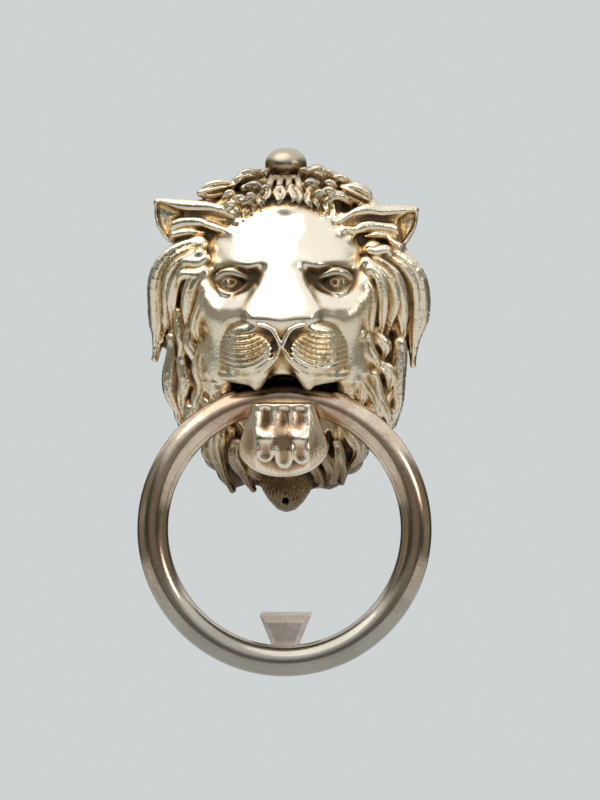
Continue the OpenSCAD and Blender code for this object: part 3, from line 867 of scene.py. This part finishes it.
class Nodes:
    """A node tree with short calls: each makes a node and returns its output."""

    def __init__(self, tree):
        self.tree = tree

    def make(self, kind, out=0, ins=None, **props):
        """A node of one kind. `ins` links a socket, or sets it to a plain value."""
        n = self.tree.nodes.new(kind)
        for key, value in props.items():
            setattr(n, key, value)
        for key, value in (ins or {}).items():
            if isinstance(value, bpy.types.NodeSocket):
                self.tree.links.new(value, n.inputs[key])
            else:
                n.inputs[key].default_value = value
        return n.outputs[out]

    def noise(self, scale, detail, rough, place):
        """Noise with so many lumps to the metre."""
        return self.make("ShaderNodeTexNoise", ins={
            "Scale": scale, "Detail": detail, "Roughness": rough, "Vector": place})

    def ramp(self, value, lo, hi, to_lo=0.0, to_hi=1.0):
        """A smooth change from to_lo to to_hi as the value goes from lo to hi."""
        return self.make("ShaderNodeMapRange", ins={
            0: value, 1: lo, 2: hi, 3: to_lo, 4: to_hi}, interpolation_type="SMOOTHSTEP")

    def math(self, operation, a, b=0.0):
        return self.make("ShaderNodeMath", ins={0: a, 1: b}, operation=operation)

    def add(self, a, b):
        return self.math("ADD", a, b)

    def minus(self, a, b):
        return self.math("SUBTRACT", a, b)

    def times(self, *factors):
        """The product of all its factors."""
        product = factors[0]
        for factor in factors[1:]:
            product = self.math("MULTIPLY", product, factor)
        return product

    def size(self, a):
        return self.math("ABSOLUTE", a)

    def mix(self, factor, a, b):
        """Colour a where the factor is 0, colour b where it is 1."""
        return self.make("ShaderNodeMix", 2, {0: factor, 6: a, 7: b}, data_type="RGBA",
                         blend_type="MIX")

    def split(self, vector):
        """A vector's x, y and z."""
        parts = self.tree.nodes.new("ShaderNodeSeparateXYZ")
        self.tree.links.new(vector, parts.inputs[0])
        return parts.outputs

    def ellipse(self, x, x0, width, z, z0, height):
        """1 on an ellipse's edge, less inside it and more outside."""
        across = self.math("DIVIDE", self.minus(x, x0), width)
        along = self.math("DIVIDE", self.minus(z, z0), height)
        return self.add(self.math("POWER", across, 2.0), self.math("POWER", along, 2.0))


def material(name, metallic=0.0):
    """A new material: itself, its nodes, its shader and the place on the object."""
    m = bpy.data.materials.new(name)
    m.use_nodes = True
    n = Nodes(m.node_tree)
    shader = m.node_tree.nodes["Principled BSDF"]
    shader.inputs["Metallic"].default_value = metallic
    place = n.make("ShaderNodeTexCoord", out=3)
    return m, n, shader, place


def finish_material(m, n, shader, colour, rough, height=None, strength=0.3, reach=0.0004):
    """Links colour and roughness, and a bump `reach` metres high, to the shader."""
    links = m.node_tree.links
    links.new(colour, shader.inputs["Base Color"])
    links.new(rough, shader.inputs["Roughness"])
    if height is not None:
        bump = n.make("ShaderNodeBump", ins={"Height": height, "Strength": strength,
                                             "Distance": reach})
        links.new(bump, shader.inputs["Normal"])
    return m


def casting_masks(n, place, face, shade_and_darkening):
    """Where on the castings, from 0 to 1, lie the polished face with its painted highlight,
    the darkened crown and the painted shade on the lower part, the painted shade in the
    mouth with the darkened pin hole, the whisker pads in painted shade, and the eye
    sockets with their tarnish and painted shade."""
    x, y, z = n.split(place)
    # the face: polished, and painted paler as a highlight
    face_polish_and_highlight = n.times(n.ramp(n.ellipse(x, 0.0, 0.034, z, 0.030, 0.0275), 1.2, 0.7), face)
    # the crown, darker towards its middle, and the lower part, darkened as painted shade under the
    # head
    crown = n.times(n.ramp(z, 0.054, 0.060), n.ramp(n.size(x), 0.010, 0.024, 0.62, 0.22))
    darkening = n.times(n.math("MAXIMUM", n.ramp(z, -0.026, -0.062), crown), shade_and_darkening)
    # painted shade, near black, inside the mouth
    mouth = n.times(n.ramp(y, -0.040, -0.032), n.ramp(z, -0.0125, -0.0150),
                    n.ramp(z, -0.034, -0.026), n.ramp(n.size(x), 0.0245, 0.0215),
                    n.ramp(y, -0.0182, -0.0200, 0.0, shade_and_darkening))
    # the pin hole, painted dark with the mouth's shade
    hole = n.ellipse(x, 0.0, 0.0017, z, PIN_HOLE_Z * MM, 0.0017)
    mouth_shade = n.math("MAXIMUM", mouth, n.ramp(hole, 1.0, 0.5, 0.0, shade_and_darkening))
    # the whisker pads, held duller with painted shade
    pads = n.times(n.ramp(z, 0.0108, 0.0082), n.ramp(z, -0.0175, -0.0125),
                   n.ramp(y, -0.040, -0.046, 0.0, face))
    # the eye sockets: tarnish, and painted shade under the brows
    socket = n.ellipse(n.size(x), 0.0205, 0.0118, z, 0.0272, 0.0074)
    return face_polish_and_highlight, darkening, mouth_shade, pads, n.times(n.ramp(socket, 1.25, 0.55), face)


def polish(n, more, less):
    """How polished a place is: the more the prouder it stands, and deep hollows count low,
    which paints shade in them. `more` and `less` hold what else counts, each with its weight."""
    proud, broad, deep = (n.make("ShaderNodeAttribute", out=2, attribute_name=key)
                          for key in ("proud", "broad", "deep"))
    height = n.add(n.times(proud, 0.8), n.times(broad, 0.5))
    # deep hollows lower the value, so they take painted shade besides the recesses' patina
    for value, weight in ((deep, 0.07), *more):
        height = n.add(height, n.times(value, weight))
    for value, weight in less:
        height = n.minus(height, n.times(value, weight))
    return height


def old_brass(name, bright, worn, darkening, gloss, face=0.0, shade_and_darkening=0.0):
    """Cast brass: polished where it stands proud, brown with patina in its recesses, and with
    painted shade in its deep hollows. The face weight adds polish and a painted highlight to
    the lion's face, painted shade on its whisker pads and tarnish with painted shade in its eye
    sockets; the last weight paints shade into its mouth and on its lower part, and darkens
    its crown and pin hole."""
    m, n, shader, place = material(name, 1.0)
    face_polish_and_highlight, foot, mouth_shade, pads, socket = casting_masks(n, place, face, shade_and_darkening)
    blotch = n.noise(90, 5, 0.6, place)
    fine = n.noise(900, 3, 0.6, place)
    grain = n.noise(2600, 2, 0.5, place)
    # fine hair that runs down the mane
    squeeze = n.make("ShaderNodeMapping", ins={"Vector": place, "Scale": (1, 1, 0.2)})
    hair = n.minus(n.noise(1100, 3, 0.6, squeeze), 0.5)
    streak = n.times(hair, n.minus(1.0, n.times(face_polish_and_highlight, 0.95)))
    # the lower part and crown, the pads and the sockets count as less polished: painted shade on
    # the lower part and pads, tarnish and painted shade in the sockets, and a darker crown
    height = polish(n, ((n.minus(blotch, 0.5), 0.45), (n.minus(fine, 0.5), 0.35),
                        (face_polish_and_highlight, 0.30), (streak, 0.5)),
                    ((foot, 0.50), (pads, 0.34), (socket, 0.62)))
    shiny = n.ramp(height, -0.02, 0.45)
    tarnish = n.ramp(n.noise(160, 6, 0.65, place), 0.42, 0.60, 0.55, 0.85)
    colour = n.mix(shiny, worn, bright)
    # painted highlight: the polished face paler still
    colour = n.mix(n.times(face_polish_and_highlight, shiny, tarnish), colour, FACE_HIGHLIGHT)
    # painted highlight on the proudest ridges
    colour = n.mix(n.times(n.ramp(height, 0.22, 0.58), 0.9), colour, RIDGE_HIGHLIGHT)
    # painted shade on the lower part, and the crown darkened with it
    colour = n.mix(n.times(foot, 0.86), colour, SHADE_AND_CROWN_BROWN)
    # tarnish and painted shade in the eye sockets
    colour = n.mix(n.times(socket, 0.5), colour, SOCKET_TARNISH_SHADE)
    # patina in the recesses, with painted shade where the deep hollows count in
    colour = n.mix(n.ramp(height, -0.52, 0.0), darkening, colour)
    # painted shade, near black, in the mouth and on the pin hole
    colour = n.mix(mouth_shade, colour, MOUTH_SHADE_BLACK)
    metal = n.minus(n.ramp(height, -0.55, -0.10, 0.35, 1.0), n.times(mouth_shade, 0.3))
    m.node_tree.links.new(metal, shader.inputs["Metallic"])
    rough = n.add(n.ramp(height, -0.45, 0.30, 0.50, gloss),
                  n.times(n.minus(blotch, 0.5), 0.12))
    rough = n.add(rough, n.times(face_polish_and_highlight, 0.07))
    bump = n.add(n.times(fine, 0.7), n.times(grain, 0.3))
    bump = n.times(bump, n.minus(1.0, n.times(face_polish_and_highlight, 0.7)))
    bump = n.add(bump, streak)
    return finish_material(m, n, shader, colour, rough, bump, 0.45, 0.0004)


def turned_brass(name, bright, worn, gloss=0.15, mouth_shade=0.0):
    """Brass worn smooth by hands, with faint stains. The last weight paints shade, near
    black, on a ring's top, which lies in the mouth, and a darker, greyer reflection on its
    foot."""
    m, n, shader, place = material(name, 1.0)
    fine = n.noise(700, 4, 0.6, place)
    mixed = n.add(n.times(n.noise(45, 5, 0.6, place), 0.75), n.times(fine, 0.25))
    colour = n.mix(n.ramp(mixed, 0.42, 0.6), worn, bright)
    rough = n.ramp(mixed, 0.35, 0.65, gloss + 0.12, gloss)
    if mouth_shade:
        x, y, z = n.split(place)
        # painted shade, near black, on the ring's top, where it lies in the mouth
        shaded_top = n.times(n.ramp(n.size(x), 0.022, 0.012), n.ramp(z, -0.0235, -0.0195))
        colour = n.mix(n.times(shaded_top, mouth_shade), colour, RING_TOP_SHADE)
        # a painted darker, greyer reflection on the ring's lower part
        colour = n.mix(n.times(n.ramp(z, -0.080, -0.125), 0.8), colour, RING_FOOT_REFLECTION)
    return finish_material(m, n, shader, colour, rough, fine, 0.15, 0.00015)


def plated_steel(name):
    """Zinc-plated steel with cloudy plating."""
    m, n, shader, place = material(name, 1.0)
    cloud = n.noise(300, 4, 0.6, place)
    colour = n.mix(n.ramp(cloud, 0.35, 0.65), (0.42, 0.43, 0.45, 1), (0.66, 0.66, 0.64, 1))
    rough = n.ramp(cloud, 0.3, 0.7, 0.42, 0.24)
    return finish_material(m, n, shader, colour, rough, n.noise(2400, 2, 0.5, place), 0.2,
                           0.0002)


def pale_floor(name):
    """A matt floor, faintly uneven in shade."""
    m, n, shader, place = material(name)
    colour = n.mix(n.noise(6, 3, 0.5, place), (0.66, 0.66, 0.65, 1), (0.72, 0.72, 0.71, 1))
    rough = n.ramp(n.noise(20, 3, 0.5, place), 0.3, 0.7, 0.6, 0.75)
    return finish_material(m, n, shader, colour, rough)


GOLD = (0.93, 0.74, 0.45, 1)
TAN = (0.53, 0.33, 0.145, 1)
BROWN = (0.095, 0.060, 0.032, 1)
# Painted light among these: the pale face and ridge colours are painted highlights, the dark brown
# and black ones painted shade (with tarnish in the sockets), and the ring's grey foot a painted
# reflection
FACE_HIGHLIGHT = (0.94, 0.86, 0.71, 1)
RIDGE_HIGHLIGHT = (0.97, 0.86, 0.67, 1)
SHADE_AND_CROWN_BROWN = (0.120, 0.074, 0.031, 1)
SOCKET_TARNISH_SHADE = (0.24, 0.16, 0.085, 1)
MOUTH_SHADE_BLACK = (0.012, 0.009, 0.006, 1)
RING_TOP_SHADE = (0.02, 0.014, 0.01, 1)
RING_FOOT_REFLECTION = (0.33, 0.335, 0.29, 1)
# Each slot's name, its kind, and what that kind is told
materials = {name: make(name, *look) for name, make, *look in (
    ("polished_brass", old_brass, GOLD, TAN, BROWN, 0.14, 1.0, 1.0),
    ("worn_brass", old_brass, (0.86, 0.64, 0.45, 1), (0.46, 0.29, 0.17, 1), BROWN, 0.10),
    # the ring's last value sets the painted shade on its top, and turns on the painted reflection
    # on its foot
    ("ring_brass", turned_brass, (0.80, 0.66, 0.50, 1), (0.56, 0.40, 0.28, 1), 0.09, 0.95),
    ("dull_brass", turned_brass, (0.82, 0.73, 0.65, 1), (0.58, 0.48, 0.41, 1), 0.36),
    ("nut_brass", turned_brass, (0.84, 0.66, 0.34, 1), (0.66, 0.48, 0.22, 1)),
    ("steel", plated_steel),
)}

# -------- scene

collection = bpy.context.scene.collection


def add_sculpts():
    """The sculpted castings, in place of their plain CAD nodes."""
    for node, piece, slot in (("lion_mask", lion_mask(), "polished_brass"),
                              ("lower_jaw", lower_jaw(), "worn_brass")):
        collection.objects.link(piece)
        piece.data.materials.append(materials[slot])
        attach(piece, "head")
        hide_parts(node)


def dress_nodes():
    """Every CAD node's material, by the slot that the record names."""
    for row in frame["record"]["subparts"]:
        node = bpy.data.objects[row["node"]]
        for material_slot in node.material_slots:
            material_slot.material = materials[row["material_slot"]]


def add_light(name, at, size, power, colour=(1, 1, 1)):
    """A round soft light that faces the mask."""
    data = bpy.data.lights.new(name, "AREA")
    data.shape = "DISK"
    data.size = size
    data.energy = power
    data.color = colour
    light = bpy.data.objects.new(name, data)
    light.location = at
    light.rotation_euler = (-Vector(at)).to_track_quat("-Z", "Y").to_euler()
    collection.objects.link(light)


def studio():
    """A soft tent of light: bright overhead, dim at the sides and below, and one pale
    grey where the camera sees it directly."""
    world = bpy.data.worlds.new("studio")
    world.use_nodes = True
    n = Nodes(world.node_tree)
    x, y, z = n.split(n.make("ShaderNodeTexCoord", out=0))
    colour = n.mix(n.ramp(z, -0.7, 0.05), (0.17, 0.13, 0.11, 1), (0.22, 0.205, 0.19, 1))
    colour = n.mix(n.ramp(z, 0.05, 0.55), colour, (0.94, 0.98, 1.03, 1))
    side = n.minus(n.size(x), n.times(z, 0.9))
    side = n.times(n.ramp(side, 0.24, 0.62), n.ramp(z, 0.75, 0.35))
    colour = n.mix(side, colour, (0.035, 0.055, 0.04, 1))
    far = n.times(n.ramp(n.size(x), 0.78, 0.95), n.ramp(z, -0.6, 0.0))
    colour = n.mix(far, colour, (0.27, 0.26, 0.23, 1))
    seen = n.make("ShaderNodeLightPath", out=0)
    colour = n.mix(seen, colour, (0.62, 0.65, 0.65, 1))
    n.tree.links.new(colour, n.tree.nodes["Background"].inputs["Color"])
    bpy.context.scene.world = world


def add_floor():
    """A square floor well below the knocker, which hangs on a door."""
    half, level = 3, -0.9
    corners = [(x * half, y * half, level) for x, y in ((-1, -1), (1, -1), (1, 1), (-1, 1))]
    mesh = bpy.data.meshes.new("floor")
    mesh.from_pydata(corners, [], [(0, 1, 2, 3)])
    mesh.materials.append(pale_floor("floor"))
    floor = bpy.data.objects.new("floor", mesh)
    collection.objects.link(floor)


AIM = Vector((0.0055, 0, -0.0235))
DISTANCE = 1.15
AROUND = math.radians(2.2)
SENSOR = 24
VIEW_HEIGHT = 0.3456


def add_camera():
    """A level camera, a little to the right, that sees VIEW_HEIGHT metres in height."""
    data = bpy.data.cameras.new("camera")
    camera = bpy.data.objects.new("camera", data)
    collection.objects.link(camera)
    camera.location = AIM + Vector((math.sin(AROUND), -math.cos(AROUND), 0)) * DISTANCE
    camera.rotation_euler = (AIM - camera.location).to_track_quat("-Z", "Y").to_euler()
    data.sensor_fit = "VERTICAL"
    data.sensor_height = SENSOR
    data.lens = SENSOR * DISTANCE / VIEW_HEIGHT
    data.clip_start = 0.01
    bpy.context.scene.camera = camera


add_sculpts()
dress_nodes()
studio()
add_light("key", (-0.3, -0.42, 0.85), 1.3, 4.4, (1, 0.98, 0.95))
add_light("fill", (0.9, -0.7, 0.25), 0.4, 1.3)
bpy.context.scene.view_settings.view_transform = "Standard"
add_floor()
add_camera()
